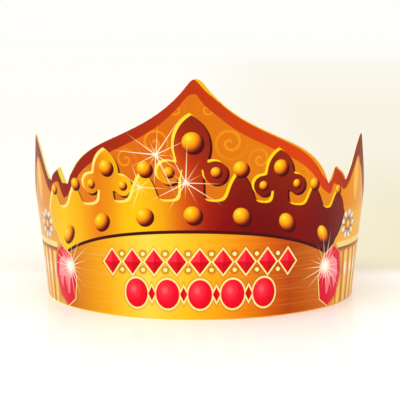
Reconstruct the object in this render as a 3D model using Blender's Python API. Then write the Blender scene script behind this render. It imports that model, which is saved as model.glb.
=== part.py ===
"""A paper crown: one strip of card, cut to a crown outline and rolled into a flaring ring.

The strip is laid out flat first. Along it runs the distance round the rim from the middle of
the front, and up it runs the height above the table. The outline is cut there, the slot is
left open, the sheet is given its thickness, and then it is rolled round the head's axis.
Its front faces -Y. At the back one end's tongue passes through the other end's slot.
Metres, +Z up.
"""
import math
from collections import namedtuple

import bmesh
import bpy
from mathutils import Vector
from mathutils.geometry import interpolate_bezier

# The ring
RIM_RADIUS = 0.0945        # inner face of the card, where it stands on the table
FLARE = 0.109              # the ring widens by this much radius for each metre of height
CARD = 0.0005              # thickness of the card
BAND_HEIGHT = 0.055        # the plain band round the back

# Corners of the cut edge on one half: degrees round from the front, height, rounding
Corner = namedtuple("Corner", "degrees height rounding")
APEX = Corner(0.0, 0.1385, 0.0071)
INNER_NOTCH = Corner(46.5, 0.0742, 0.0010)
SMALL_POINT = Corner(49.5, 0.0854, 0.0038)
OUTER_NOTCH = Corner(56.2, 0.0748, 0.0010)
SPIKE = Corner(64.5, 0.1036, 0.0048)
BAND_START = Corner(95.0, BAND_HEIGHT, 0.0)

# The curved flanks between those corners: each has two pulls, in degrees and height
Flank = namedtuple("Flank", "start start_pull end_pull end steps")
FLANKS = [
    Flank(APEX, (15.6, 0.0992), (37.8, 0.1054), INNER_NOTCH, 18),
    Flank(INNER_NOTCH, (47.8, 0.078), (48.7, 0.082), SMALL_POINT, 3),
    Flank(SMALL_POINT, (51.8, 0.0815), (54.5, 0.0805), OUTER_NOTCH, 4),
    Flank(OUTER_NOTCH, (59.9, 0.0846), (59.6, 0.0868), SPIKE, 8),
    Flank(SPIKE, (72.0, 0.078), (81.0, 0.055), BAND_START, 13),
]
CORNER_STEPS = 5           # points on each rounded corner

# The closing at the back: distances along the strip, in metres from the middle of the front
BACK = math.pi * RIM_RADIUS
SLOT_CENTRE = BACK - 0.008
SLOT_WIDTH = 0.004
SLOT_LOW = 0.012
SLOT_HIGH = 0.043
SLOT_END = BACK + 0.008    # the end of the strip that has the slot
SHOULDER = 0.002           # the other end's full height stops this far before the slot
TONGUE_LENGTH = 0.028
TONGUE_PLAY = 0.0005       # above and below the tongue in its slot
TONGUE_TAPER = 0.005       # the tongue narrows by this much at its tip, above and below
LAP_GAP = 0.0003           # between the layers where they lie on each other
LAP_RAMP = 0.008           # the run in which the outer layer rises over the inner one
BAND_STEP = 0.0045         # spacing of the columns round the plain band


def along(degrees):
    """Distance along the flat strip for an angle round from the front."""
    return math.radians(degrees) * RIM_RADIUS


def flank_points(flank):
    """Points down one curved flank of the flat strip, both corners included."""
    ends = [Vector((along(corner.degrees), corner.height)) for corner in (flank.start, flank.end)]
    pulls = [Vector((along(pull[0]), pull[1])) for pull in (flank.start_pull, flank.end_pull)]
    curve = interpolate_bezier(ends[0], pulls[0], pulls[1], ends[1], flank.steps)
    return [Vector(point[:2]) for point in curve]


def rounded_corner(before, corner, after, rounding):
    """A short arc that replaces a sharp corner."""
    leave = corner + (before - corner).normalized() * rounding
    arrive = corner + (after - corner).normalized() * rounding
    pulls = [end.lerp(corner, 2 / 3) for end in (leave, arrive)]
    curve = interpolate_bezier(leave, pulls[0], pulls[1], arrive, CORNER_STEPS)
    return [Vector(point[:2]) for point in curve]


def half_edge():
    """The cut edge from just beside the apex to the plain band, on one side."""
    points = flank_points(FLANKS[0])[1:-1]
    for here, following in zip(FLANKS, FLANKS[1:]):
        next_points = flank_points(following)
        points += rounded_corner(points[-1], next_points[0], next_points[1], here.end.rounding)
        points += next_points[1:-1]
    return points + [Vector((along(BAND_START.degrees), BAND_START.height))]


def cut_edge():
    """The whole shaped edge, from the band's start on the left to its start on the right."""
    right = half_edge()
    left = [Vector((-point.x, point.y)) for point in reversed(right)]
    apex = rounded_corner(left[-1], Vector((0.0, APEX.height)), right[0], APEX.rounding)
    return left + apex + right


def even_steps(start, end):
    """Places from start to end, start left out, no further apart than the band's step."""
    count = math.ceil(abs(end - start) / BAND_STEP)
    return [start + (end - start) * number / count for number in range(1, count + 1)]


def strip_columns():
    """Place and top height of every column of the flat strip, from the tongue to the slot end."""
    edge = cut_edge()
    slot_left = SLOT_CENTRE - SLOT_WIDTH / 2
    slot_right = SLOT_CENTRE + SLOT_WIDTH / 2
    right_stops = [slot_left, slot_right, SLOT_END]
    left_stops = [other_end(stop) for stop in (
        SLOT_END + LAP_RAMP, SLOT_END, slot_right + SHOULDER, slot_right, slot_left,
        tongue_tip() + TONGUE_TAPER, tongue_tip())]
    right = run_through(edge[-1].x, right_stops)
    left = run_through(edge[0].x, left_stops)
    columns = [(place, BAND_HEIGHT) for place in reversed(left)]
    columns += [(point.x, point.y) for point in edge]
    columns += [(place, BAND_HEIGHT) for place in right]
    return columns


def run_through(start, stops):
    """Even steps from start through every stop."""
    places = []
    for stop in stops:
        places += even_steps(start, stop)
        start = stop
    return places


def other_end(place):
    """The same spot on the ring, counted from the front the other way round."""
    return place - 2 * BACK


def tongue_tip():
    """Where the tongue ends, inside the ring, counted as on the slot's side."""
    return SLOT_CENTRE + SLOT_WIDTH / 2 + SHOULDER - TONGUE_LENGTH


def row_heights(place, top):
    """Heights at which a column is divided: the slot and the tongue need their own lines."""
    from_tip = place - other_end(tongue_tip())
    taper = TONGUE_TAPER * max(0.0, 1.0 - from_tip / TONGUE_TAPER)
    tongue_low = SLOT_LOW + TONGUE_PLAY + taper
    tongue_high = SLOT_HIGH - TONGUE_PLAY - taper
    return [0.0, SLOT_LOW, tongue_low, tongue_high, SLOT_HIGH, top]


def is_card(middle, row):
    """Whether there is card between two columns, in one row between two heights."""
    in_slot = abs(middle - SLOT_CENTRE) < SLOT_WIDTH / 2 and 1 <= row <= 3
    shoulder = other_end(SLOT_CENTRE + SLOT_WIDTH / 2 + SHOULDER)
    beside_tongue = middle < shoulder and row != 2
    return not in_slot and not beside_tongue


def lap_offset(place):
    """How far the end with the tongue stands outside the ring, or inside it past the slot."""
    spot = place + 2 * BACK
    lift = CARD + LAP_GAP
    if spot > SLOT_END + LAP_RAMP or place > 0:
        return 0.0
    if spot > SLOT_END:
        return lift * (SLOT_END + LAP_RAMP - spot) / LAP_RAMP
    through = (spot - SLOT_CENTRE) / (SLOT_WIDTH / 2)
    return lift * min(1.0, max(-1.0, through))


def rolled(place, facing, height):
    """A point of the flat strip, which faces -Y too, moved to its place on the flaring ring."""
    angle = place / RIM_RADIUS
    radius = RIM_RADIUS + FLARE * height - facing + lap_offset(place)
    return Vector((radius * math.sin(angle), -radius * math.cos(angle), height))


def flat_strip(mesh_edit):
    """The flat sheet with its outline and its slot, as a grid of faces."""
    columns = strip_columns()
    grid = [[mesh_edit.verts.new((place, 0.0, height)) for height in row_heights(place, top)]
            for place, top in columns]
    for number, (near, far) in enumerate(zip(grid, grid[1:])):
        middle = (columns[number][0] + columns[number + 1][0]) / 2
        for row in range(len(near) - 1):
            if is_card(middle, row):
                mesh_edit.faces.new((near[row], far[row], far[row + 1], near[row + 1]))
    loose = [vertex for vertex in mesh_edit.verts if not vertex.link_faces]
    bmesh.ops.delete(mesh_edit, geom=loose, context="VERTS")


def thicken(mesh_edit):
    """Give the sheet its thickness by pulling a second face out of it."""
    result = bmesh.ops.extrude_face_region(mesh_edit, geom=mesh_edit.faces[:])
    pulled = [item for item in result["geom"] if isinstance(item, bmesh.types.BMVert)]
    bmesh.ops.translate(mesh_edit, vec=(0.0, -CARD, 0.0), verts=pulled)
    bmesh.ops.recalc_face_normals(mesh_edit, faces=mesh_edit.faces[:])


def roll_up(mesh_edit):
    """Roll the sheet into the ring and centre the ring's box on the origin."""
    for vertex in mesh_edit.verts:
        vertex.co = rolled(*vertex.co)
    lowest = [min(vertex.co[axis] for vertex in mesh_edit.verts) for axis in (0, 1)]
    highest = [max(vertex.co[axis] for vertex in mesh_edit.verts) for axis in (0, 1)]
    centre = [-(low + high) / 2 for low, high in zip(lowest, highest)]
    bmesh.ops.translate(mesh_edit, vec=(centre[0], centre[1], 0.0), verts=mesh_edit.verts[:])


def gold_card_material():
    """The laminated gold print that covers most of the card."""
    material = bpy.data.materials.new("gold_card")
    material.use_nodes = True
    shader = material.node_tree.nodes["Principled BSDF"]
    shader.inputs["Base Color"].default_value = (0.80, 0.36, 0.04, 1.0)
    shader.inputs["Roughness"].default_value = 0.28
    shader.inputs["Metallic"].default_value = 0.0
    return material


def crown_card():
    """The crown: one closed body."""
    mesh_edit = bmesh.new()
    flat_strip(mesh_edit)
    thicken(mesh_edit)
    roll_up(mesh_edit)
    mesh = bpy.data.meshes.new("crown_card")
    mesh_edit.to_mesh(mesh)
    mesh_edit.free()
    mesh.materials.append(gold_card_material())
    mesh.shade_smooth()
    mesh.set_sharp_from_angle(angle=math.radians(40))
    crown = bpy.data.objects.new("crown_card", mesh)
    bpy.context.scene.collection.objects.link(crown)
    return crown


for leftover in list(bpy.data.objects):
    bpy.data.objects.remove(leftover)
crown_card()
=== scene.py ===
# %% [markdown]
# A paper crown is one strip of printed card. It is printed flat, covered with a gloss film,
# cut out with a die, and rolled into a ring that flares a little. Its two ends are held
# together at the back by a tongue in a slot. This lesson makes it in the same order: an
# outline, a flat sheet, a print on that sheet, and then the roll. The first step loads the
# solid model that fixes the crown's size and place.

# %% Load the fixed frame
import math
from collections import namedtuple
from contextlib import contextmanager
from functools import partialmethod, reduce

import bpy
import numpy as np
from mathutils import Matrix, Vector


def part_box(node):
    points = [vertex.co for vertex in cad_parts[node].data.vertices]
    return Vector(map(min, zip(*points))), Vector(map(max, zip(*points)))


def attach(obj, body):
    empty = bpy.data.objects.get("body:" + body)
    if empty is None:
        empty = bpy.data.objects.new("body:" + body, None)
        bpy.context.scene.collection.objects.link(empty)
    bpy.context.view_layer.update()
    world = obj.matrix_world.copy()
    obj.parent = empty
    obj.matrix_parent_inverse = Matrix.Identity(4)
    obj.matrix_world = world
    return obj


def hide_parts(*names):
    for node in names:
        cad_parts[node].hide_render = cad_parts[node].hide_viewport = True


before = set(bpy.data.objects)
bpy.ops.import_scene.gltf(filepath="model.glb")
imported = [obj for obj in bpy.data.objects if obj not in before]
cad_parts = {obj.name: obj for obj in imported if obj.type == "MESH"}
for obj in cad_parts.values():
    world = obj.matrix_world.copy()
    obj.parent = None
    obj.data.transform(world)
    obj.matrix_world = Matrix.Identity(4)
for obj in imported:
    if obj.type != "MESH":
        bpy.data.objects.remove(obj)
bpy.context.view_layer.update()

bpy.ops.object.select_all(action="DESELECT")

# %% [markdown]
# These are the sizes that the card was designed by, in metres. The height is measured up from
# the table. The place along the strip is measured round the rim from the middle of the front,
# so an angle on the finished ring becomes a distance on the flat sheet.

# %% Sizes of the card
MM = 0.001
CARD = 0.5 * MM
RIM_RADIUS = 94.5 * MM + CARD
FLARE = 0.109
BAND_HEIGHT = 55 * MM

BACK = math.pi * RIM_RADIUS
SLOT_CENTRE = BACK - 8 * MM
SLOT_WIDTH = 4 * MM
SLOT_LOW, SLOT_HIGH = 12 * MM, 43 * MM
SLOT_END = BACK + 8 * MM
SHOULDER = SLOT_CENTRE + SLOT_WIDTH / 2 + 2 * MM
TONGUE_TIP = SHOULDER - 28 * MM
TONGUE_PLAY = 0.5 * MM
LAP_LIFT = CARD + 0.3 * MM
LAP_RAMP = 8 * MM


def along(degrees):
    """Distance along the flat sheet for an angle round from the front."""
    return math.radians(degrees) * RIM_RADIUS


def other_end(place):
    """The same spot on the ring, reached from the front the other way round."""
    return place - 2 * BACK


sheet_length = SLOT_END - other_end(TONGUE_TIP)
print("the flat sheet is", round(sheet_length / MM), "mm long")

# %% [markdown]
# The die's outline has a few corners, and a smooth flank between each pair. A Bezier curve
# holds that best, because each flank is one segment with two handles. Every corner of a real
# die is a little round, so each corner becomes two curve points with a short arc between them.

# %% Corners and flanks of the outline
Turn = namedtuple("Turn", "place height rounding")
Run = namedtuple("Run", "start start_pull end_pull end")

APEX = Turn(0.0, 138.5 * MM, 7.1 * MM)
INNER_NOTCH = Turn(along(46.5), 74.2 * MM, 1.0 * MM)
SMALL_POINT = Turn(along(49.5), 85.4 * MM, 3.8 * MM)
OUTER_NOTCH = Turn(along(56.2), 74.8 * MM, 1.0 * MM)
SPIKE = Turn(along(64.5), 103.6 * MM, 4.8 * MM)
BAND_START = Turn(along(95.0), BAND_HEIGHT, 1.0 * MM)

FLANKS = [
    Run(APEX, (along(15.6), 99.2 * MM), (along(37.8), 105.4 * MM), INNER_NOTCH),
    Run(INNER_NOTCH, (along(47.8), 78 * MM), (along(48.7), 82 * MM), SMALL_POINT),
    Run(SMALL_POINT, (along(51.8), 81.5 * MM), (along(54.5), 80.5 * MM), OUTER_NOTCH),
    Run(OUTER_NOTCH, (along(59.9), 84.6 * MM), (along(59.6), 86.8 * MM), SPIKE),
    Run(SPIKE, (along(72.0), 78 * MM), (along(81.0), BAND_HEIGHT), BAND_START),
]
END_ROUNDING = 3 * MM
TONGUE_ROUNDING = 6 * MM


def mirrored(turn):
    """The same corner on the left half."""
    return Turn(-turn.place, turn.height, turn.rounding)


def straight(start, end):
    """A straight run between two corners, with its handles a third of the way in."""
    ends = [Vector((turn.place, turn.height)) for turn in (start, end)]
    return Run(start, tuple(ends[0].lerp(ends[1], 1 / 3)), tuple(ends[1].lerp(ends[0], 1 / 3)), end)


def outline_runs():
    """Every run of the outline in turn, from the slot's end over the top and back below."""
    over_top = [Run(run.end, run.end_pull, run.start_pull, run.start) for run in reversed(FLANKS)]
    for run in FLANKS:
        pulls = [(-pull[0], pull[1]) for pull in (run.start_pull, run.end_pull)]
        over_top.append(Run(mirrored(run.start), pulls[0], pulls[1], mirrored(run.end)))
    slot_bottom = Turn(SLOT_END, 0.0, END_ROUNDING)
    slot_top = Turn(SLOT_END, BAND_HEIGHT, END_ROUNDING)
    shoulder, tip = other_end(SHOULDER), other_end(TONGUE_TIP)
    low, high = SLOT_LOW + TONGUE_PLAY, SLOT_HIGH - TONGUE_PLAY
    left_end = [Turn(shoulder, BAND_HEIGHT, END_ROUNDING), Turn(shoulder, high, MM),
                Turn(tip, high, TONGUE_ROUNDING), Turn(tip, low, TONGUE_ROUNDING),
                Turn(shoulder, low, MM), Turn(shoulder, 0.0, END_ROUNDING), slot_bottom]
    runs = [straight(slot_bottom, slot_top), straight(slot_top, BAND_START)] + over_top
    for turn in left_end:
        runs.append(straight(runs[-1].end, turn))
    return runs


print("the outline has", len(outline_runs()), "runs")

# %% [markdown]
# The curve is added with the mouse-driven tool's own operator, and its points are then set to
# the outline. Converted to a mesh it is a loop of edges, and filling that loop gives the flat
# sheet as a single face. It stands upright and faces the front from the start. Edit mode is
# opened for a few steps at a time, and the end of a with block closes it again.

# %% Draw the outline and fill it
CURVE_STEPS = 20
TINY = 0.15 * MM


def select_only(piece):
    """Make one object the only selected one, and the active one."""
    bpy.ops.object.select_all(action="DESELECT")
    piece.select_set(True)
    bpy.context.view_layer.objects.active = piece


@contextmanager
def editing(action=None):
    """Edit mode for the steps inside. The action can select or deselect everything first."""
    bpy.ops.object.mode_set(mode="EDIT")
    if action:
        bpy.ops.mesh.select_all(action=action)
    yield
    bpy.ops.object.mode_set(mode="OBJECT")


def upright(point):
    """A flat point of the sheet, standing in the room."""
    return Vector((point[0], 0.0, point[1]))


def draw_corner(before, turn, after, points):
    """Set the two curve points of one rounded corner."""
    corner = Vector((turn.place, turn.height))
    pulls = (before.end_pull, after.start_pull)
    for point, pull, arriving in zip(points, pulls, (True, False)):
        spot = corner + (Vector(pull) - corner).normalized() * turn.rounding
        outer, inner = upright(pull), upright(spot.lerp(corner, 2 / 3))
        point.handle_left_type = point.handle_right_type = "FREE"
        point.co = upright(spot)
        point.handle_left = outer if arriving else inner
        point.handle_right = inner if arriving else outer


def flat_sheet():
    """The card's outline as one upright face."""
    bpy.ops.curve.primitive_bezier_curve_add(location=(0, 0, 0))
    outline = bpy.context.object
    outline.name = "crown"
    runs = outline_runs()
    spline = outline.data.splines[0]
    spline.bezier_points.add(2 * len(runs) - len(spline.bezier_points))
    for number, run in enumerate(runs):
        pair = spline.bezier_points[2 * number:2 * number + 2]
        draw_corner(runs[number - 1], run.start, run, pair)
    spline.use_cyclic_u = True
    outline.data.resolution_u = CURVE_STEPS
    select_only(outline)
    bpy.ops.object.convert(target="MESH")
    with editing("SELECT"):
        bpy.ops.mesh.remove_doubles(threshold=TINY)
        bpy.ops.mesh.edge_face_add()
    return bpy.context.object


crown = flat_sheet()
rim_points = np.array([vertex.co[:] for vertex in crown.data.vertices])
print("outline points:", len(rim_points), "sheet area:",
      round(crown.data.polygons[0].area * 1e4), "square cm")

# %% [markdown]
# A single face can't bend, so the sheet is sliced into narrow columns, and into rows that let
# it ripple a little. Bisect slices right through everything that is selected. Four of the
# slices lie on the slot's sides, and the faces between them are then deleted.

# %% Slice the sheet and open the slot
FRONT_STEP = 2 * MM
BACK_STEP = 4 * MM
ROW_STEP = 2.5 * MM
RAMP_STEP = 0.5 * MM


def steps(start, end, step):
    """Even places from start to end, both included."""
    count = max(1, round(abs(end - start) / step))
    return list(np.linspace(start, end, count + 1))


def slice_sheet(places, normal):
    """Cut the whole sheet through at each place along one direction."""
    for place in places:
        bpy.ops.mesh.select_all(action="SELECT")
        bpy.ops.mesh.bisect(plane_co=Vector(normal) * place, plane_no=normal)


def pick(piece, kind, wanted):
    """Select the faces or the vertices that are wanted, and nothing else."""
    with editing("DESELECT"):
        bpy.ops.mesh.select_mode(type=kind)
    for element in piece.data.polygons if kind == "FACE" else piece.data.vertices:
        element.select = wanted(element)


def in_slot(face):
    """Whether a face of the flat sheet lies in the slot."""
    place, height = face.center.x, face.center.z
    return abs(place - SLOT_CENTRE) < SLOT_WIDTH / 2 and SLOT_LOW < height < SLOT_HIGH


slot_sides = [SLOT_CENTRE - SLOT_WIDTH / 2, SLOT_CENTRE + SLOT_WIDTH / 2]
ramp_ends = [other_end(SLOT_END), other_end(SLOT_END + LAP_RAMP)]
columns = steps(-BAND_START.place, BAND_START.place, FRONT_STEP)
columns += steps(BAND_START.place, slot_sides[0], BACK_STEP)[1:] + slot_sides[1:]
columns += steps(-BAND_START.place, ramp_ends[1], BACK_STEP)[1:]
columns += steps(ramp_ends[1], ramp_ends[0], 2 * RAMP_STEP)[1:]
columns += steps(other_end(slot_sides[1]), other_end(slot_sides[0]), RAMP_STEP)
columns += steps(other_end(slot_sides[0]), other_end(TONGUE_TIP), BACK_STEP)[1:-1]
rows = steps(ROW_STEP, APEX.height, ROW_STEP) + [SLOT_LOW, SLOT_HIGH]

with editing():
    slice_sheet(columns, (1, 0, 0))
    slice_sheet(rows, (0, 0, 1))
pick(crown, "FACE", in_slot)
with editing():
    bpy.ops.mesh.delete(type="FACE")
    bpy.ops.mesh.select_mode(type="VERT")
    bpy.ops.mesh.select_all(action="SELECT")
    bpy.ops.mesh.remove_doubles(threshold=TINY)
print("the sliced sheet has", len(crown.data.polygons), "faces")

# %% [markdown]
# The print is drawn flat, so the sheet gets its print map now, while it is flat: the map's two
# numbers are simply the place along the strip and the height. The brown border is the outline
# once more, moved straight down. Each point of the sheet therefore carries its depth in that
# border, from 0 at the printed outline to 1 at the border's lower edge. The printed outline
# doesn't meet the die everywhere, so a short table says how far it lies to the left of the cut.
# A second one says how deep the border is. Both pair degrees from the front with millimetres.

# %% Lay out the print on the flat sheet
PRINT_LEFT_OF_CUT = [
    (-110, 1.0), (-65, 1.8), (-56, 2.2), (-50.5, 4.4), (-48.9, 4.4), (-46.8, 0.6), (-45.5, 0.3),
    (-43, -0.7), (-34, 0.0), (-12, 1.5), (-1, 1.8), (0.5, 2.2), (3, 2.05), (4.1, 1.4), (7, 0.8),
    (12, 1.1), (20, 1.5), (28, 2.1), (43, 2.6), (45.5, 0.5), (46.8, -1.4), (48.6, -1.4), (49.2, 0.0),
    (49.8, 0.0), (50.6, 1.8), (54.5, 1.3), (57, 0.0), (60, 0.0),
]
BORDER_DROP = [
    (0, 7.5), (1.5, 8.4), (3, 8.3), (4.8, 8.2), (8, 8.0), (12, 7.7), (20, 7.2), (43, 7.2),
    (46.5, 6.6), (49.5, 9.2), (51.5, 8.8), (56.2, 5.8), (60, 10.6), (62.5, 12.6), (64.5, 12.8),
    (65.7, 14.1), (69, 9.5), (80, 7.0), (110, 6.0),
]


def read_table(table, degrees):
    """The measures of a table at some angles, in metres."""
    places, measures = zip(*table)
    return np.interp(degrees, places, measures) * MM


def border_depth(points, outline):
    """How deep each point lies in the border, as a share of it, and less than 0 above it."""
    upper = outline[outline[:, 2] > BAND_HEIGHT - MM]
    upper = upper[np.argsort(upper[:, 0])]
    degrees = np.degrees(points[:, 0] / RIM_RADIUS)
    printed_place = points[:, 0] + read_table(PRINT_LEFT_OF_CUT, degrees)
    printed_top = np.interp(printed_place, upper[:, 0], upper[:, 2])
    return (printed_top - points[:, 2]) / read_table(BORDER_DROP, abs(degrees))


mesh = crown.data
flat = np.array([vertex.co[:] for vertex in mesh.vertices])
depth = border_depth(flat, rim_points)
border = mesh.attributes.new("border_depth", "FLOAT", "POINT")
border.data.foreach_set("value", depth)
print_map = mesh.uv_layers.new(name="print")
for loop in mesh.loops:
    print_map.uv[loop.index].vector = flat[loop.vertex_index][[0, 2]]
print(int((depth < 0).sum()), "points lie outside the printed outline")

# %% [markdown]
# Where the ends lap, the end with the tongue lies on the outside. It rises over the other end
# in a short ramp, and dives through the slot to the inside. The columns are moved out while
# the sheet is still flat, which is much simpler than on the ring.

# %% Lift the lapping end


def ease(share):
    """A smooth step from 0 to 1."""
    share = min(1.0, max(0.0, share))
    return share * share * (3 - 2 * share)


def lap_lift(place):
    """How far outside the ring the end with the tongue lies, or inside it past the slot."""
    spot = place + 2 * BACK
    if spot > SLOT_END:
        return LAP_LIFT * ease((SLOT_END + LAP_RAMP - spot) / LAP_RAMP)
    return LAP_LIFT * (2 * ease((spot - slot_sides[0]) / SLOT_WIDTH) - 1)


def lift_columns(piece):
    """Move each column of the lapping end out by its own lift."""
    lifted = sorted({round(vertex.co.x, 6) for vertex in piece.data.vertices
                     if vertex.co.x < other_end(SLOT_END + LAP_RAMP)})
    for place in lifted:
        pick(piece, "VERT", lambda vertex: round(vertex.co.x, 6) == place)
        with editing():
            bpy.ops.transform.translate(value=(0, -lap_lift(place), 0))
    return len(lifted)


print("lifted", lift_columns(crown), "columns")

# %% [markdown]
# Card is never quite even once it has been rolled: it keeps faint, wide ripples. A Displace
# modifier with a cloud texture gives them. A vertex group fades them out towards the two
# ends, where the layers lie close to each other.

# %% Ripple the card
RIPPLE = 1.1 * MM
RIPPLE_SIZE = 60 * MM
FADE_START, FADE_END = 0.72 * BACK, 0.88 * BACK


def apply_modifier(piece, kind, **settings):
    """Add a modifier, give it its settings and apply it."""
    select_only(piece)
    modifier = piece.modifiers.new(kind.lower(), kind)
    for name, value in settings.items():
        setattr(modifier, name, value)
    bpy.ops.object.modifier_apply(modifier=modifier.name)


clouds = bpy.data.textures.new("ripples", "CLOUDS")
clouds.noise_scale = RIPPLE_SIZE
free_part = crown.vertex_groups.new(name="free_part")
for vertex in crown.data.vertices:
    fade = 1 - ease((abs(vertex.co.x) - FADE_START) / (FADE_END - FADE_START))
    free_part.add([vertex.index], fade, "REPLACE")
apply_modifier(crown, "DISPLACE", texture=clouds, direction="Y", strength=RIPPLE,
               mid_level=0.5, vertex_group="free_part")
depths = [vertex.co.y / MM for vertex in crown.data.vertices]
print("ripples and lap reach from", round(min(depths), 2), "to", round(max(depths), 2), "mm")

# %% [markdown]
# Now the sheet is rolled. Simple Deform bends it round an upright axis, and the ring is moved
# until its middle lies on its own origin. There a second Simple Deform tapers it, which gives
# the flare. Both work on the whole mesh at once and keep its height.

# %% Roll the sheet into a flaring ring


def slide_mesh(piece, offset):
    """Move a mesh inside its object."""
    select_only(piece)
    with editing("SELECT"):
        bpy.ops.transform.translate(value=offset)


def reach(piece, axis):
    """The lowest and highest place of a mesh along one axis."""
    values = [vertex.co[axis] for vertex in piece.data.vertices]
    return min(values), max(values)


left, right = reach(crown, 0)
apply_modifier(crown, "SIMPLE_DEFORM", deform_method="BEND", deform_axis="Z",
               angle=(right - left) / RIM_RADIUS)
slide_mesh(crown, (0, -RIM_RADIUS, 0))
height = reach(crown, 2)[1]
apply_modifier(crown, "SIMPLE_DEFORM", deform_method="TAPER", deform_axis="Z",
               factor=FLARE * height / RIM_RADIUS)
ring_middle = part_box("crown_card")[0].y + RIM_RADIUS + FLARE * height
slide_mesh(crown, (0, ring_middle, 0))
print("the ring reaches from", [round(reach(crown, axis)[0] / MM, 1) for axis in range(3)],
      "to", [round(reach(crown, axis)[1] / MM, 1) for axis in range(3)], "mm")

# %% [markdown]
# The rolled sheet is the printed outer face. Solidify gives it the card's thickness towards
# the inside. Its two extra material slots are for the plain inner face and for the cut edge,
# which on real card are as different from the print as a photograph's back is from its front.
# The faces have to point outwards first, or the thickness would grow the wrong way.

# %% Give the card its thickness
SHARP_ANGLE = math.radians(40)


def outward_share(piece):
    """The share of faces that point away from the ring's axis."""
    outward = [face.normal.x * face.center.x + face.normal.y * (face.center.y - ring_middle) > 0
               for face in piece.data.polygons]
    return sum(outward) / len(outward)


def face_outwards(piece):
    """Turn the faces of an open sheet so that they point away from the axis."""
    if outward_share(piece) < 0.5:
        select_only(piece)
        with editing("SELECT"):
            bpy.ops.mesh.flip_normals()


face_outwards(crown)
print("faces that point outwards:", outward_share(crown))
for name in ("printed_face", "plain_board", "cut_edge"):
    crown.data.materials.append(bpy.data.materials.new(name))
    bpy.data.materials[name].use_nodes = True
apply_modifier(crown, "SOLIDIFY", thickness=CARD, offset=-1.0, use_rim=True,
               material_offset=1, material_offset_rim=2)
select_only(crown)
bpy.ops.object.shade_smooth_by_angle(angle=SHARP_ANGLE)
print("the card has", len(crown.data.polygons), "faces")

# %% [markdown]
# All the colours are printed on the flat sheet, so the material draws them from the print map.
# Such a drawing takes hundreds of nodes, too many to place by hand. This small class wraps a
# socket, so that a Python sum adds a Math node, and the drawing reads like arithmetic.

# %% A small language for shader maths


def feed(node, inputs):
    """Give the sockets of a node their numbers, colours or links."""
    for key, value in inputs.items():
        if isinstance(value, Link):
            value.tree.links.new(value.socket, node.inputs[key])
        else:
            node.inputs[key].default_value = value


class Link:
    """A socket in a Python expression. Each operator adds the node that works it out."""

    def __init__(self, tree, socket=None):
        self.tree = tree
        self.socket = socket

    def node(self, kind, inputs=None, output=0, stops=(), **settings):
        """Add any node: its settings are set first, then the values or links of its sockets."""
        made = self.tree.nodes.new(kind)
        for name, value in settings.items():
            setattr(made, name, value)
        for number, (place, colour) in enumerate(stops):
            elements = made.color_ramp.elements
            stop = elements[number] if number < 2 else elements.new(place)
            stop.position = place
            stop.color = colour
        feed(made, inputs or {})
        return Link(self.tree, made.outputs[output])

    def math(self, operation, *others, clamp=False):
        """A Math node on this link and other links or numbers."""
        inputs = dict(enumerate((self, *others)))
        return self.node("ShaderNodeMath", inputs, operation=operation, use_clamp=clamp)

    def vector(self, operation, *others, output=0):
        """A Vector Math node on this link and other links or triples of numbers."""
        inputs = dict(enumerate((self, *others)))
        return self.node("ShaderNodeVectorMath", inputs, output, operation=operation)

    def math_after(self, operation, number):
        """A Math node on a number and then this link."""
        return self.node("ShaderNodeMath", {0: number, 1: self}, operation=operation)

    # Each operator is one of the methods above with its operation filled in
    __add__ = __radd__ = partialmethod(math, "ADD")
    __mul__ = __rmul__ = partialmethod(math, "MULTIPLY")
    __sub__ = partialmethod(math, "SUBTRACT")
    __rsub__ = partialmethod(math_after, "SUBTRACT")
    __truediv__ = partialmethod(math, "DIVIDE")
    __rtruediv__ = partialmethod(math_after, "DIVIDE")
    __lt__ = partialmethod(math, "LESS_THAN")
    __gt__ = partialmethod(math, "GREATER_THAN")
    __abs__ = partialmethod(math, "ABSOLUTE")

    def length(self):
        """How far a position link lies from its own zero."""
        return self.vector("LENGTH", output=1)

    def from_spot(self, x, y):
        """A position link measured from another spot."""
        return self.vector("SUBTRACT", (x, y, 0))

    def parts(self):
        """The two measures of a position link."""
        apart = self.node("ShaderNodeSeparateXYZ", {0: self})
        return apart, Link(self.tree, apart.socket.node.outputs[1])

    def about(self, x, y):
        """The angle and the distance of a position link, as seen from a spot."""
        local = self.from_spot(x, y)
        across, up = local.parts()
        return up.math("ARCTAN2", across), local.length()

    def repeat(self, width):
        """The place within its own strip, so that one drawing comes back at every width."""
        return self.math("WRAP", width / 2, -width / 2)

    def noise(self, scale, detail):
        """Cloudy noise at a position link."""
        return self.node("ShaderNodeTexNoise", {"Vector": self, "Scale": scale, "Detail": detail})

    def bump(self, strength, highest_rise):
        """A surface direction, as if the link's values stood up from the surface."""
        inputs = {"Height": self, "Strength": strength, "Distance": highest_rise}
        return self.node("ShaderNodeBump", inputs)

    def paint(self, colour, mask):
        """This colour with another, a link or a web code, laid over it where the mask is 1."""
        top = ink(colour) if isinstance(colour, str) else colour
        return self.node("ShaderNodeMix", {0: mask, 6: self, 7: top}, 2, data_type="RGBA")


def position(x, y):
    """A position link made of its two measures."""
    return x.node("ShaderNodeCombineXYZ", {0: x, 1: y})


def ink(code):
    """A colour from its usual web code, in the light values that shaders work with."""
    parts = [int(code[at:at + 2], 16) / 255 for at in (1, 3, 5)]
    return tuple(part / 12.92 if part <= 0.04045 else ((part + 0.055) / 1.055) ** 2.4
                 for part in parts) + (1.0,)


def lowest(*values):
    """The smallest of several links: the union of shapes."""
    return reduce(lambda one, other: one.math("MINIMUM", other), values)


def highest(*values):
    """The largest of several links: what shapes have in common."""
    return reduce(lambda one, other: one.math("MAXIMUM", other), values)


def melted(width, *shapes):
    """The union of shapes, with a fillet of that width where they meet."""
    return reduce(lambda one, other: one.math("SMOOTH_MIN", other, width), shapes)


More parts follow.
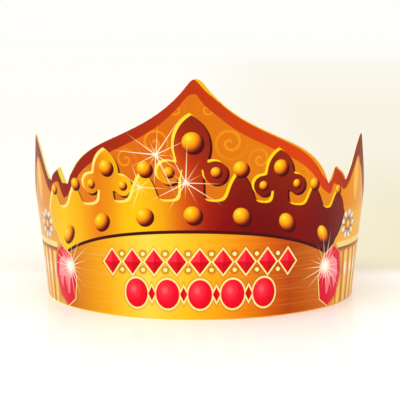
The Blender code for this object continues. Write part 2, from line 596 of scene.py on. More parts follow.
def rise(value, start, end):
    """A straight rise from 0 where a link has its start value to 1 where it has its end value."""
    return value.math("MULTIPLY_ADD", 1 / (end - start), -start / (end - start), clamp=True)


def inside(shape, softness=0.16):
    """A mask that is 1 inside a shape, with an edge as soft as print is."""
    return rise(shape, softness / 2, -softness / 2)


def ramp(value, stops):
    """A colour that changes with a link's value, through the web code of each stop."""
    start, end = min(stops), max(stops)
    share = rise(value, start, end)
    placed = [((place - start) / (end - start), ink(code)) for place, code in stops.items()]
    return share.node("ShaderNodeValToRGB", {0: share}, stops=placed)


print("pure white ink is", ink("#FFFFFF"), "and mid grey is", ink("#808080")[0])

# %% [markdown]
# Every layer of the print needs to know where on the sheet it is. The print map gives metres
# on the flat strip. The ring is wider at the top, so the place is widened with the height, and
# round motifs stay round on the crown. Most motifs come in pairs, so there is also a folded
# position, with the left half laid over the right half, and the side it came from. The middle
# of the print lies a little to the left of the apex.

# %% Where each layer of the print looks itself up
PRINT_MIDDLE = -2.5
Sheet = namedtuple("Sheet", "x y spot across folded side depth")


def find_place(tree):
    """The sheet's measures at the point that is being coloured, in millimetres."""
    strip, up = Link(tree).node("ShaderNodeUVMap", uv_map="print").parts()
    y = up / MM
    x = strip * (y * (FLARE * MM / RIM_RADIUS) + 1) / MM - PRINT_MIDDLE
    across = abs(x)
    depth = x.node("ShaderNodeAttribute", output=2, attribute_name="border_depth")
    return Sheet(x, y, position(x, y), across, position(across, y), x.math("SIGN"), depth)


print("the print's middle is", -PRINT_MIDDLE, "mm to the left of the apex")

# %% [markdown]
# The ground of the print is a warm orange with faint scrolls in a paler tone, as such cards
# often have behind a picture. A scroll is a spiral: the distance from its middle, less a
# share of the turn, repeats at every winding. It fades at its rim instead of ending bluntly.

# %% The orange ground and its scrolls
Scroll = namedtuple("Scroll", "place height size winding line")
SCROLLS = [
    Scroll(21.0, 100.5, 8.5, 5.2, 1.5),
    Scroll(38.0, 91.0, 6.0, 4.4, 1.2),
    Scroll(8.5, 119.0, 4.5, 3.6, 1.0),
    Scroll(66.0, 79.5, 5.0, 4.0, 1.0),
]
SCROLL_SOFTNESS = 0.5
SCROLL_STRENGTH = 0.55


def scroll_mask(sheet, scroll):
    """A spiral line about one spot of the folded sheet."""
    turn, out = sheet.folded.about(scroll.place, scroll.height)
    winding = (out - turn * (scroll.winding / math.tau)).repeat(scroll.winding)
    line = abs(winding) - scroll.line / 2
    return inside(line, SCROLL_SOFTNESS) * inside(out - scroll.size, scroll.size / 2)


def paint_ground(sheet):
    """The orange ground, a little different from left to right, with its scrolls."""
    colour = ramp(sheet.x, {
        -150: "#E39A35", -95: "#E38A28", -50: "#D8701A", -18: "#D66810", 12: "#DA7410",
        45: "#DF7E1E", 95: "#EA881E", 150: "#EFA43A"})
    scrolls = highest(*[scroll_mask(sheet, scroll) for scroll in SCROLLS])
    return colour.paint("#F6A22E", scrolls * SCROLL_STRENGTH)


print(len(SCROLLS), "pairs of scrolls on the ground")

# %% [markdown]
# A brown-red border runs along the shaped edge. The depth that each point of the sheet carries
# gives its mask, with no need to draw the outline again. Outside the border the bleed shows in
# yellow, where the die cut beyond the printed outline.

# %% The border and the yellow bleed
PRINT_SOFTNESS = 0.022


def paint_border(sheet, colour):
    """The border along the edge, and the bleed beyond it."""
    band = abs(sheet.depth - 0.5) - 0.5
    brown = ramp(sheet.x, {
        -130: "#8A2E14", -95: "#8C2810", -60: "#9C2D0C", -5: "#B63B16", 25: "#C84215",
        70: "#DC4616", 95: "#BE3A16", 115: "#8C2A1C", 130: "#84281E"})
    bleed = ramp(sheet.x, {
        -120: "#DCC854", -80: "#E2CE48", -45: "#E8C42C", 5: "#E8B51A", 60: "#EE9E16",
        110: "#EC8C1C"})
    colour = colour.paint(brown, inside(band, PRINT_SOFTNESS))
    return colour.paint(bleed, inside(sheet.depth, PRINT_SOFTNESS))


print("the border is", BORDER_DROP[0][1], "mm deep below the apex")

# %% [markdown]
# The main motif is a heraldic coronet: a curved body that carries trefoils, and between them
# points that end in a ball. Each form is a distance that is negative inside it, so a minimum
# joins forms and a maximum cuts them. A smooth minimum melts lobe and stem together as a
# draughtsman's pen would. A pointed leaf is what two circles have in common.

# %% The outline of the coronet
Trefoil = namedtuple("Trefoil", "place middle half_width half_height lobe_out lobe_up lobe")
TREFOILS = [
    Trefoil(0.0, 99.0, 10.0, 17.0, 13.0, 84.0, 6.5),
    Trefoil(51.0, 83.0, 8.2, 13.0, 10.8, 76.0, 5.6),
]
Leaf = namedtuple("Leaf", "place middle half_width half_height")
STEMS = [Leaf(0.0, 75.0, 6.2, 27.0), Leaf(51.0, 68.0, 4.6, 20.0)]
POINTS = [Leaf(27.0, 64.0, 8.0, 21.0), Leaf(74.5, 57.0, 6.5, 17.5), Leaf(95.5, 57.5, 6.0, 12.0)]
BODY_TOP, BODY_DROOP = 68.0, 0.0011
LINE_TOP, LINE_DROOP, LINE_STEEP = 50.8, 0.0016, 1e-7
SIDE_PLACE, SIDE_SLANT = 70.5, 0.55
LOBE_FILLET, VALLEY_FILLET = 5.0, 8.0
HIDDEN = 3.0


def leaf_shape(folded, leaf):
    """A pointed leaf that stands upright."""
    radius = (leaf.half_height ** 2 + leaf.half_width ** 2) / (2 * leaf.half_width)
    local = folded.from_spot(leaf.place, leaf.middle)
    return local.vector("ABSOLUTE").from_spot(leaf.half_width - radius, 0).length() - radius


def trefoil_shape(folded, trefoil):
    """A leaf between two round lobes."""
    leaf = leaf_shape(folded, Leaf(*trefoil[:4]))
    local = folded.from_spot(trefoil.place, 0)
    from_lobe = local.vector("ABSOLUTE").from_spot(trefoil.lobe_out, trefoil.lobe_up)
    return melted(LOBE_FILLET, leaf, from_lobe.length() - trefoil.lobe)


def line_height(x):
    """Height of the curved line under the coronet."""
    square = x * x
    return LINE_TOP - square * (square * LINE_STEEP + LINE_DROOP)


def coronet_shape(spot):
    """The coronet. It reaches a little below the curved line, where the band hides it."""
    folded = spot.vector("ABSOLUTE")
    x, y = folded.parts()
    side = (x - y * SIDE_SLANT - SIDE_PLACE) / math.hypot(1, SIDE_SLANT)
    body = highest(x * x * BODY_DROOP + y - BODY_TOP, side)
    crest = [trefoil_shape(folded, trefoil) for trefoil in TREFOILS]
    crest += [leaf_shape(folded, leaf) for leaf in STEMS + POINTS]
    return highest(melted(VALLEY_FILLET, body, lowest(*crest)), line_height(x) - HIDDEN - y)


print("the tallest leaf ends", TREFOILS[0].middle + TREFOILS[0].half_height, "mm up")

# %% [markdown]
# The printer drew the coronet as if it stood off the card. The same outline is drawn three
# times: dark and shifted down to the right for the shadow, yellow and shifted up to the left
# for the lit rim, and then the coronet itself. Its colour runs from gold on the left to a
# dark wine red on the right. In the tall middle leaf that blend leans, so it darkens upwards,
# and all of it turns a little warmer towards the top.

# %% Paint the coronet
SHADOW_SHIFT = (1.3, -1.1)
RIM_SHIFT = (-1.4, 1.2)
LEAN_START, LEAN = 82.0, 0.7
WARM_START, WARM_END, WARMTH = 35.0, 95.0, 0.25


def paint_coronet(sheet, colour):
    """The coronet with its shadow and its lit rim."""
    rim = ramp(sheet.x, {-90: "#F7E28C", -40: "#F9E36A", 0: "#FFDA2C", 90: "#FBCB1E"})
    leaning = sheet.x + (sheet.y - LEAN_START).math("MAXIMUM", 0.0) * LEAN
    gold = ramp(leaning, {
        -100: "#F2BE28", -86: "#F9CB1C", -70: "#F4B214", -57: "#E7820C", -48: "#ED9A10",
        -39: "#F7C211", -30: "#FACA12", -16: "#EEA614", -10: "#E07E0C", -4: "#D0580C",
        3: "#B4340A", 9: "#9A1E0A", 16: "#84120A", 28: "#6C0C0A", 44: "#690F10", 64: "#7C160E",
        85: "#641210", 105: "#74180E"})
    gold = gold.paint("#C8560A", rise(sheet.y, WARM_START, WARM_END) * WARMTH)
    for shift, layer in ((SHADOW_SHIFT, "#4C050B"), (RIM_SHIFT, rim), ((0, 0), gold)):
        colour = colour.paint(layer, inside(coronet_shape(sheet.spot.from_spot(*shift))))
    return colour


print("shadow and rim are shifted by", SHADOW_SHIFT, "and", RIM_SHIFT, "mm")

# %% [markdown]
# Studs sit on the coronet: a row along its body, and one on each trefoil and point. They are
# drawn, not raised, so each is a disc with a shaded ball on it and a dark crescent below. All
# studs share one drawing. The sheet is measured from its nearest stud, in that stud's own
# radius, and the drawing needs only that.

# %% Paint the studs
Stud = namedtuple("Stud", "place height size")
STUDS = [Stud(0.0, 101.0, 5.6), Stud(13.1, 84.3, 2.9), Stud(27.0, 86.0, 4.3), Stud(51.0, 86.0, 4.4),
         Stud(61.7, 76.2, 2.5), Stud(40.3, 76.2, 2.5), Stud(74.5, 75.2, 3.4), Stud(95.6, 70.2, 2.7)]
ROW_SPACING, ROW_UP, ROW_SIZE, ROW_END = 27.5, 9.6, 4.9, 90.0
FAR_AWAY = 50.0
STUD_SOFTNESS = 0.05
STUD_LIGHT = (-0.36, 0.42)
CRESCENT_SHIFT, CRESCENT_SIZE = (0.2, -0.2), 1.04


def nearest_stud(sheet):
    """The position as measured from the nearest stud, in that stud's radius."""
    up = sheet.y - line_height(sheet.x) - ROW_UP + (sheet.across > ROW_END) * FAR_AWAY
    best = position(sheet.across.repeat(ROW_SPACING) / ROW_SIZE, up / ROW_SIZE)
    away = best.length()
    for stud in STUDS:
        scale = 1 / stud.size
        offset = (-stud.place * scale, -stud.height * scale, 0)
        local = sheet.folded.vector("MULTIPLY_ADD", (scale, scale, 0), offset)
        out = local.length()
        best = best.node("ShaderNodeMix", {0: out < away, 4: best, 5: local}, 1, data_type="VECTOR")
        away = lowest(away, out)
    across, up = best.parts()
    return position(across * sheet.side, up), away


def paint_studs(sheet, colour):
    """A shaded ball with a dark crescent for every stud."""
    local, away = nearest_stud(sheet)
    crescent = local.from_spot(*CRESCENT_SHIFT).length() - CRESCENT_SIZE
    colour = colour.paint("#4A0409", inside(crescent, STUD_SOFTNESS))
    ball = ramp(local.from_spot(*STUD_LIGHT).length(), {
        0.0: "#FFE070", 0.3: "#FFC81C", 0.7: "#F4A41A", 1.02: "#DA7016", 1.26: "#9A3A1A",
        1.48: "#651A10"})
    return colour.paint(ball, inside(away - 1, STUD_SOFTNESS))


print(2 * len(STUDS) - 1, "single studs and a row", ROW_SPACING, "mm apart")

# %% [markdown]
# Under the coronet lies a broad plain band of shining gold. Its colour runs from orange over
# pale yellow to brown and back, the way a printed blend imitates polished metal. Fine level
# streaks in it look like brushed metal. A dark line parts it from the coronet.

# %% Paint the lower band
LINE_WIDTH = 1.9
BAND_SIDE = 90.0
STREAKS, STREAK_STRENGTH = (0.012, 0.9, 0), 0.5


def paint_band(sheet, colour):
    """The gold band and the dark line above it."""
    blend = ramp(sheet.x, {
        -92: "#C4601C", -80: "#D07420", -67: "#E2901F", -52: "#F4AA20", -38: "#F9C936",
        -26: "#FCD84C", -14: "#FDCF38", -2: "#FCC028", 11: "#F7AC20", 25: "#F1921E",
        37: "#E2771E", 47: "#D05C1A", 57: "#B84C1C", 66: "#C05A1E", 78: "#CE6C22",
        92: "#D67C2C"})
    streaks = sheet.spot.vector("MULTIPLY", STREAKS).noise(scale=1.0, detail=3.0)
    blend = blend.paint("#FFE890", (streaks - 0.5) * STREAK_STRENGTH)
    above_line = sheet.y - line_height(sheet.x)
    beyond = sheet.across - BAND_SIDE
    colour = colour.paint(blend, inside(highest(above_line, beyond)))
    return colour.paint("#4A0409", inside(highest(abs(above_line) - LINE_WIDTH / 2, beyond)))


print("the dark line is", LINE_WIDTH, "mm wide")

# %% [markdown]
# Two rows of jewels fill the middle of the band: cut lozenges above, and round stones with
# small lozenges between them below. All are red with a pale outline. One tile of each row is
# drawn, and the place along the row is wrapped so that the tile repeats. The upper row arches
# a little, as the coronet does.

# %% Paint the rows of jewels
Row = namedtuple("Row", "height spacing tiles arch")
ROWS_MIDDLE = 4.0
UPPER_ROW = Row(33.6, 13.0, 9, 0.0006)
LOWER_ROW = Row(14.8, 18.4, 5, 0.0)
LOZENGE = (5.4, 7.1)
SMALL_LOZENGE = (2.1, 4.2)
OVAL = (6.7, 8.4)
BEAD, BEAD_RISE = 1.25, 4.6
OUTLINE = 0.9
HALO, HALO_SOFTNESS, HALO_STRENGTH = 1.2, 1.6, 0.75
LEFT_FACET, UPPER_FACET = 0.3, 0.5
DOME_LIGHT, DOME_TONE, DOME_FALL = (-1.6, 2.2), 0.4, 0.09


def row_place(sheet, row, half_tile=0.0):
    """The position in one tile of a row, and the distance beyond the row's end."""
    x = sheet.x - ROWS_MIDDLE
    beyond = abs(x) - row.tiles * row.spacing / 2 + OUTLINE + half_tile
    return (x + half_tile).repeat(row.spacing), sheet.y - row.height + x * x * row.arch, beyond


def lozenge_shape(x, y, size):
    """A lozenge from its half width and half height."""
    return (abs(x) / size[0] + abs(y) / size[1] - 1) / math.hypot(1 / size[0], 1 / size[1])


def oval_shape(x, y, size):
    """An oval from its half width and half height."""
    return (position(x / size[0], y / size[1]).length() - 1) * min(size)


def paint_jewels(sheet, colour):
    """Both rows of red jewels."""
    x, y, beyond = row_place(sheet, UPPER_ROW)
    lozenges = highest(lozenge_shape(x, y, LOZENGE), beyond)
    cut = (x < 0) * LEFT_FACET + (y > 0) * UPPER_FACET
    u, v, beyond = row_place(sheet, LOWER_ROW)
    ovals = highest(oval_shape(u, v, OVAL), beyond)
    dome = oval_shape(u - DOME_LIGHT[0], v - DOME_LIGHT[1], OVAL)
    x, y, beyond = row_place(sheet, LOWER_ROW, LOWER_ROW.spacing / 2)
    small = highest(lozenge_shape(x, y, SMALL_LOZENGE), beyond)
    x, y, beyond = row_place(sheet, UPPER_ROW, UPPER_ROW.spacing / 2)
    beads = highest(oval_shape(x, abs(y) - BEAD_RISE, (BEAD, BEAD)), beyond)
    shapes = lowest(lozenges, ovals, small)
    halo = inside(lowest(shapes, beads) - HALO, HALO_SOFTNESS)
    colour = colour.paint("#B4581A", halo * HALO_STRENGTH)
    colour = colour.paint("#FFEE9A", inside(lowest(shapes - OUTLINE, beads)))
    upper = sheet.y > (UPPER_ROW.height + LOWER_ROW.height) / 2
    shade = upper * cut + (1 - upper) * (DOME_TONE - dome * DOME_FALL)
    red = ramp(shade, {
        0.0: "#C40C24", 0.3: "#E0122A", 0.5: "#F01A32", 0.8: "#F8384A", 1.0: "#FB6A70"})
    return colour.paint(red, inside(shapes))


print(UPPER_ROW.tiles, "lozenges over", LOWER_ROW.tiles, "round stones")

# %% [markdown]
# At each side hangs a large ruby, a long stone with eight sides and a flat table inside a
# bevel. Two measures of how far out a point lies give both the outline and the table, which
# have the same form. Each facet then gets its own flat tone: red bevels, a pale upper table,
# and below it two pale wedges between red ones.

# %% Paint the rubies
RUBIES_MIDDLE = 1.3
RUBY_PLACE = (90.2, 19.0)
RUBY_HALF = (11.8, 18.2)
RUBY_LEAN = 0.10
CORNER_CUT = 0.4
RUBY_TABLE = 0.66
TABLE_SPLIT = -0.03
Wedge = namedtuple("Wedge", "place tip spread")
WEDGES = [Wedge(0.42, -0.46, 0.65), Wedge(-0.2, -0.75, 0.36)]
BEVEL_TONE, LIT_BEVEL, LOW_BEVEL = 0.16, 0.3, 0.08
TABLE_TONE, BELOW_TONE, WEDGE_TONE = 0.74, 0.2, 0.44
RUBY_HALO, RUBY_HALO_SOFTNESS, RUBY_HALO_STRENGTH = 1.2, 1.4, 0.6
RUBY_OUTLINE, INNER_OUTLINE = 0.25, 0.5


def paint_rubies(sheet, colour):
    """A long eight-sided stone on each side."""
    out, up = RUBY_PLACE
    rise_up = sheet.y - up
    x = (abs(sheet.x - RUBIES_MIDDLE) - rise_up * RUBY_LEAN - out) / RUBY_HALF[0]
    y = rise_up / RUBY_HALF[1]
    sides, ends = abs(x) + abs(y) * CORNER_CUT, abs(y) + abs(x) * CORNER_CUT
    inner, upper = x < 0, y > 0
    bevel = BEVEL_TONE + inner * upper * LIT_BEVEL + (1 - inner) * (1 - upper) * LOW_BEVEL
    wedges = lowest(*[abs(x - wedge.place) - (y - wedge.tip) * wedge.spread for wedge in WEDGES]) < 0
    below = wedges * WEDGE_TONE + BELOW_TONE
    table = (y > TABLE_SPLIT) * (TABLE_TONE - below) + below
    tone = bevel + (highest(sides, ends) < RUBY_TABLE) * (table - bevel)
    shape = highest((sides - 1) * RUBY_HALF[0], (ends - 1) * RUBY_HALF[1])
    halo = inside(shape - RUBY_HALO, RUBY_HALO_SOFTNESS)
    colour = colour.paint("#8A3A10", halo * RUBY_HALO_STRENGTH)
    colour = colour.paint("#FFE78C", inside(shape - inner * INNER_OUTLINE - RUBY_OUTLINE))
    red = ramp(tone, {
        0.0: "#BE0C28", 0.16: "#E01C38", 0.4: "#EC3450", 0.66: "#F4808C", 0.9: "#FBB4B2"})
    return colour.paint(red, inside(shape, softness=0.3))


print("each ruby is", 2 * RUBY_HALF[0], "by", 2 * RUBY_HALF[1], "mm")

# %% [markdown]
# Round the sides the print goes on with small ornaments on a honey ground: a slim leaf in the
# tall spike, a rosette of pearls, a rail under it, and upright gadroons below the rail. Both
# the rosette and the gadroons are one piece repeated by wrapping: the angle round its middle,
# or the place along the strip. The back is left plain, with only the rail going on.

# %% Paint the sides
SIDE_START, SIDE_TOP = 84.0, 56.0
SIDE_GAP, SIDE_SOFTNESS = 1.5, 6.0
ROSETTE = Stud(110.5, 48.0, 6.4)
ROSETTE_RIM, BOSS = 1.2, 3.5
PEARLS = 9
PEARL, PEARL_LIGHT = (2.5, 2.0), (0.8, 0.7)
Rail = namedtuple("Rail", "height half_width colour")
RAILS = [Rail(36.4, 1.8, "#F6D888"), Rail(34.0, 0.8, "#A4502A")]
RAIL_START = 97.0
PANEL_START, PANEL_END, PANEL_STRENGTH = 98.0, 157.0, 0.85
GADROON_WIDTH, GADROON_TOP = 8.4, 32.4
GADROON_CROWN, GADROON_GAP = 0.14, 0.25
DROP, DROP_PLACE, DROP_STRENGTH = (1.2, 4.2), (-0.6, 21.0), 0.9
SPIKE_LEAF, LEAF_STRENGTH = Leaf(118.5, 74.0, 3.4, 13.0), 0.8


def paint_gadroons(sheet, colour):
    """Upright rounded ribs below the rail, each with a pale drop on it."""
    half = GADROON_WIDTH / 2
    x = (sheet.across - PANEL_START - half).repeat(GADROON_WIDTH)
    y = sheet.y
    panel = highest(y - RAILS[0].height, PANEL_START - sheet.across, sheet.across - PANEL_END)
    colour = colour.paint("#B4622A", inside(panel) * PANEL_STRENGTH)
    ribs = highest(y - GADROON_TOP + x * x * GADROON_CROWN, panel, abs(x) - half + GADROON_GAP)
    rib = ramp(x, {
        -3.9: "#C06C2C", -3.0: "#E89C40", -1.2: "#FBDE74", 0.4: "#F8C452", 2.4: "#E69A3C",
        3.9: "#BE6A2C"})
    colour = colour.paint(rib, inside(ribs, softness=0.4))
    drop = highest(oval_shape(x - DROP_PLACE[0], y - DROP_PLACE[1], DROP), panel)
    return colour.paint("#FFF8E4", inside(drop, softness=0.5) * DROP_STRENGTH)


def paint_rosette(sheet, colour):
    """A ring of pearls about a golden boss."""
    turn, out = sheet.folded.about(ROSETTE.place, ROSETTE.height)
    turn = turn.repeat(math.tau / PEARLS)
    beside = turn.math("SINE") * out
    beyond = turn.math("COSINE") * out - ROSETTE.size
    glow = oval_shape(beyond - PEARL_LIGHT[0], beside - PEARL_LIGHT[1], (PEARL[1], PEARL[1]))
    colour = colour.paint("#9A4A24", inside(out - ROSETTE.size - ROSETTE_RIM, softness=0.6))
    white = ramp(glow, {-2.6: "#FFFEF6", -1.0: "#EFE6D8", 0.6: "#B9A695"})
    colour = colour.paint(white, inside(oval_shape(beyond, beside, PEARL), softness=0.4))
    boss = ramp(out, {0.0: "#FFE388", 2.0: "#F2A82A", BOSS: "#B25A20"})
    return colour.paint(boss, inside(out - BOSS, softness=0.4))


def paint_sides(sheet, colour):
    """The honey ground of the sides and the back, with its ornaments."""
    x, y = sheet.across, sheet.y
    honey = ramp(sheet.x, {
        -300: "#E8A23C", -150: "#EBA83E", -100: "#E6A244", -84: "#EFC050", 84: "#F3A62C",
        110: "#F6B038", 150: "#EFAA3C", 300: "#EAA43A"})
    coronet_side = y * SIDE_SLANT + SIDE_PLACE + SIDE_GAP
    ground = highest(y - SIDE_TOP, SIDE_START - x, coronet_side - x)
    colour = colour.paint(honey, inside(ground, SIDE_SOFTNESS))
    colour = paint_gadroons(sheet, colour)
    for rail in RAILS:
        shape = highest(abs(y - rail.height) - rail.half_width, RAIL_START - x)
        colour = colour.paint(rail.colour, inside(shape))
    leaf = inside(leaf_shape(sheet.folded, SPIKE_LEAF), softness=1.2)
    return paint_rosette(sheet, colour.paint("#FBC85A", leaf * LEAF_STRENGTH))


print(PEARLS, "pearls in each rosette, gadroons", GADROON_WIDTH, "mm apart")

# %% [markdown]
# Small stars of light are printed on the gold and on the rubies, to make them sparkle. Each
# is a bunch of hair-thin rays. The sine of a multiple of the angle is zero along every ray,
# so its size times the distance from the middle tells how far the nearest ray is. A ray is
# nearly white at its root and turns yellow as it thins out.

# %% Paint the glints
Glint = namedtuple("Glint", "place height length rays turn core colour")
GLINTS = [
    Glint(-20.0, 94.0, 29.0, 6, 0.45, 0.40, "#FFF8DC"),
    Glint(-3.5, 78.5, 26.0, 6, 0.25, 0.40, "#FFF8DC"),
    Glint(-30.0, 75.5, 18.0, 5, 0.1, 0.35, "#FFF0A0"),
    Glint(-82.6, 25.5, 23.0, 9, 0.1, 1.8, "#FFFBEA"),
    Glint(85.4, 25.5, 23.0, 9, 0.3, 1.8, "#FFFBEA"),
]
RAY_WIDTH, RAY_SOFTNESS = 0.30, 0.3
RAY_UNEVENNESS = 1.7
RAY_BRIGHTNESS = 3.0
CORE_FADE, CORE_FULL = 3.3, 1.1


def paint_glint(sheet, colour, glint):
    """One star of light."""
    angle, out = sheet.spot.about(glint.place, glint.height)
    beside = abs((angle * glint.rays + glint.turn).math("SINE")) * out / glint.rays
    unevenness = RAY_UNEVENNESS / glint.rays
    uneven = (angle * 3 + glint.place).math("SINE") * unevenness + (1 - unevenness)
    fade = out.math("MULTIPLY_ADD", -1 / glint.length, uneven, clamp=True)
    bright = fade.math("MULTIPLY", RAY_BRIGHTNESS, clamp=True)
    ray = inside(beside - fade * RAY_WIDTH, RAY_SOFTNESS) * bright
    core = rise(out, CORE_FADE * glint.core, CORE_FULL * glint.core)
    light = ramp(highest(fade, core), {0.0: "#FFC850", 0.15: "#FFE898", 0.5: glint.colour})
    return colour.paint(light, highest(ray, core))


def paint_glints(sheet, colour):
    """Every star of light."""
    for glint in GLINTS:
        colour = paint_glint(sheet, colour, glint)
    return colour


print(len(GLINTS), "glints")

# %% [markdown]
# Last, a thin paler line is painted along the lower edge: a painted highlight, where the rim
# catches light from the bright table. Then a film of clear gloss plastic covers it all and
# dims the ink a little. Its gloss varies in broad patches, and it follows the fibres of the
# board in a fine, soft grain. The gloss is the shader's own reflection, so it needs no second
# coat.

# %% The printed and laminated face
FILM_GRAIN, FILM_WAVE = 0.9, 0.03
GRAIN_STRENGTH, GRAIN_DEPTH = 0.04, 0.1 * MM
FILM_SMOOTH, FILM_DULL = 0.20, 0.30
FILM_CLARITY, FILM_VEIL = 0.94, 0.012
FILM_REFLECTION = 0.10
# Height of the painted highlight along the lower edge, in millimetres
EDGE_HIGHLIGHT_HEIGHT = 0.6


def paint_edge_highlight(sheet, colour):
    """A painted highlight: a paler line along the lower edge."""
    edge_highlight = ramp(sheet.x, {
        -300: "#F0D890", -105: "#FDEFA8", -60: "#FAE070", -40: "#F8D040", -5: "#FCC83A",
        25: "#F8A830", 60: "#FAAA34", 95: "#F0A040", 120: "#D8A060", 300: "#F0D890"})
    # Painted highlight: the lower edge is lighter, where the rim catches light from the bright table
    return colour.paint(edge_highlight, inside(sheet.y - EDGE_HIGHLIGHT_HEIGHT))


def finish(material, colour, roughness, reflection, **others):
    """Give a material's own shader its inputs."""
    feed(material.node_tree.nodes["Principled BSDF"], {
        "Base Color": colour, "Roughness": roughness, "Specular IOR Level": reflection, **others})


def finish_print(material):
    """The whole print under its film."""
    sheet = find_place(material.node_tree)
    colour = paint_ground(sheet)
    for paint in (paint_sides, paint_border, paint_coronet, paint_band, paint_jewels, paint_studs,
                  paint_rubies, paint_glints, paint_edge_highlight):
        colour = paint(sheet, colour)
    dense = colour.vector("MULTIPLY_ADD", (FILM_CLARITY,) * 3, (-FILM_VEIL,) * 3)
    place = Link(material.node_tree).node("ShaderNodeTexCoord", output=3)
    roughness = place.noise(FILM_WAVE / MM, detail=2.0) * (FILM_DULL - FILM_SMOOTH) + FILM_SMOOTH
    grain = place.noise(FILM_GRAIN / MM, detail=2.0).bump(GRAIN_STRENGTH, GRAIN_DEPTH)
    finish(material, dense.vector("MAXIMUM", (0, 0, 0)), roughness, FILM_REFLECTION, Normal=grain)
    return len(material.node_tree.nodes)


print("the print takes", finish_print(bpy.data.materials["printed_face"]), "nodes")

# %% [markdown]
# The inside is bare folding board: off-white, matt and a little mottled, with short fibres
# along the strip. The cut edge shows the same board in section, slightly darker, because the
# die crushes it and the hand leaves dirt there.

# %% The bare board and the cut edge
FIBRES, MOTTLE = (250, 1400, 0), 60.0
FIBRE_STRENGTH, FIBRE_DEPTH, FIBRE_ROUGHNESS = 0.15, 0.05 * MM, 0.12
BOARD_REFLECTION = 0.25


def finish_board(material, pale, dark, roughness):
    """Matt paper board with fibres and mottling."""
    flat_map = Link(material.node_tree).node("ShaderNodeUVMap", uv_map="print")
    fibres = flat_map.vector("MULTIPLY", FIBRES).noise(scale=1.0, detail=4.0)
    tone = (fibres + flat_map.noise(MOTTLE, detail=3.0)) * 0.5
    finish(material, ramp(tone, {0.3: dark, 0.62: pale}), fibres * FIBRE_ROUGHNESS + roughness,
           BOARD_REFLECTION, Normal=fibres.bump(FIBRE_STRENGTH, FIBRE_DEPTH))


finish_board(bpy.data.materials["plain_board"], "#FBF8F1", "#EEE9DD", 0.68)
finish_board(bpy.data.materials["cut_edge"], "#F3E9CF", "#DCC9A0", 0.75)
print("board and edge are finished")

# %% [markdown]
# The finished card stands for the solid model's only node, and rides on its only body. The
# solid stays in the frame for its size and for collision, but it isn't shown.

# %% Put the crown in the frame
crown.name = "crown_sheet"
crown.vertex_groups.clear()
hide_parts("crown_card")
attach(crown, "root")
print(crown.name, "stands for crown_card")

# %% [markdown]
# The stage is a plain glossy table top, pale and very bright, as in a product picture. Behind
# the middle of the crown it turns creamy, more so on the right, and far off it is white again
# like the light all round. It is one big plane, so the crown can be seen from every side.

# %% The table top
TABLE_SIZE = 60.0
CREAM_RUN, PALER_RUN, WHITE_RUN = (0.04, 0.09), (0.1, 1.2), (1.5, 12.0)
PALER_SHARE = 0.4
TABLE_ROUGHNESS, TABLE_REFLECTION = 0.16, 0.03


def smooth_step(value, start, end):
    """A smooth rise of a link from 0 at the start to 1 at the end."""
    return value.node("ShaderNodeMapRange", {"Value": value, "From Min": start, "From Max": end},
                      interpolation_type="SMOOTHSTEP")


def finish_table(material):
    """White gloss, creamier behind the crown and to its right."""
    place = Link(material.node_tree).node("ShaderNodeTexCoord", output=3)
    x, y = place.parts()
    out = place.length()
    far_off = smooth_step(out, *WHITE_RUN) * (1 - PALER_SHARE)
    paler = smooth_step(out, *PALER_RUN) * PALER_SHARE + far_off
    creamy = smooth_step(y, *CREAM_RUN) * (1 - paler)
    cream = ramp(x, {-0.15: "#F3F0E6", 0.0167: "#EAE3CD", 0.1833: "#DCD0A6"})
    finish(material, cream.paint("#FFFFFA", 1 - creamy), TABLE_ROUGHNESS, TABLE_REFLECTION)


bpy.ops.mesh.primitive_plane_add(size=TABLE_SIZE, location=(0, 0, 0))
table = bpy.context.object
table.name = "table_top"
table.data.materials.append(bpy.data.materials.new("table_gloss"))
table.data.materials[0].use_nodes = True
finish_table(table.data.materials[0])
print("the table top is", TABLE_SIZE, "m wide")

# %% [markdown]
# Soft light comes from all round, as in a white tent, and from two large lamps in front: one
# high on the left, which gives the faint shadow on the right, and a weaker one on the right.
# The lamps aren't reflected or seen themselves, so the film mirrors only the tent.

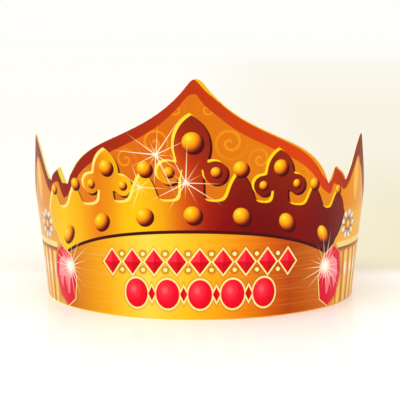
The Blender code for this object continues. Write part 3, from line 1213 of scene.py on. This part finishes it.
# %% Light
ROOM_BRIGHTNESS = 1.0
Lamp = namedtuple("Lamp", "name place size power")
LAMPS = [
    Lamp("key", (-0.9, -0.9, 1.6), 1.0, 9.8),
    Lamp("fill", (0.8, -1.5, 1.0), 1.5, 5.2),
]


def add_lamp(lamp):
    """A square soft lamp that faces the crown."""
    bpy.ops.object.light_add(type="AREA", location=lamp.place)
    light = bpy.context.object
    light.name = lamp.name
    light.data.size = lamp.size
    light.data.energy = lamp.power
    light.rotation_euler = Vector(lamp.place).to_track_quat("Z", "Y").to_euler()
    light.visible_camera = False
    light.visible_glossy = False


world = bpy.data.worlds.new("tent")
bpy.context.scene.world = world
world.use_nodes = True
feed(world.node_tree.nodes["Background"], {"Color": ink("#FFFEFB"), "Strength": ROOM_BRIGHTNESS})
for lamp in LAMPS:
    add_lamp(lamp)
print(len(LAMPS), "lamps")

# %% [markdown]
# The camera stands where the picture was taken: almost straight in front, a little higher
# than the crown, and so far away that the ring is seen with little perspective. It stands
# off to the side by the small angle by which the crown was turned.

# %% Camera
CAMERA_DISTANCE = 0.85
CAMERA_HEIGHT = 0.1604
CAMERA_TURN = math.radians(1.0)
CAMERA_DOWN = math.radians(6.98)
CAMERA_ROLL = math.radians(-0.27)
FOCAL_PIXELS = 1367.8
PICTURE_PIXELS = 400

bpy.ops.object.camera_add()
camera = bpy.context.object
camera.name = "front_camera"
camera.location = (CAMERA_DISTANCE * math.sin(CAMERA_TURN),
                   ring_middle - CAMERA_DISTANCE * math.cos(CAMERA_TURN), CAMERA_HEIGHT)
turn = Matrix.Rotation(CAMERA_TURN, 3, "Z")
lean = Matrix.Rotation(math.pi / 2 - CAMERA_DOWN, 3, "X")
roll = Matrix.Rotation(CAMERA_ROLL, 3, "Z")
camera.rotation_euler = (turn @ lean @ roll).to_euler()
camera.data.sensor_width = 36.0
camera.data.lens = FOCAL_PIXELS * camera.data.sensor_width / PICTURE_PIXELS
bpy.context.scene.camera = camera
bpy.context.scene.view_settings.view_transform = "Standard"
print("the lens is", round(camera.data.lens, 1), "mm")

# %% [markdown]
# Last, the view layer is brought up to date.

# %% Finish
bpy.context.view_layer.update()
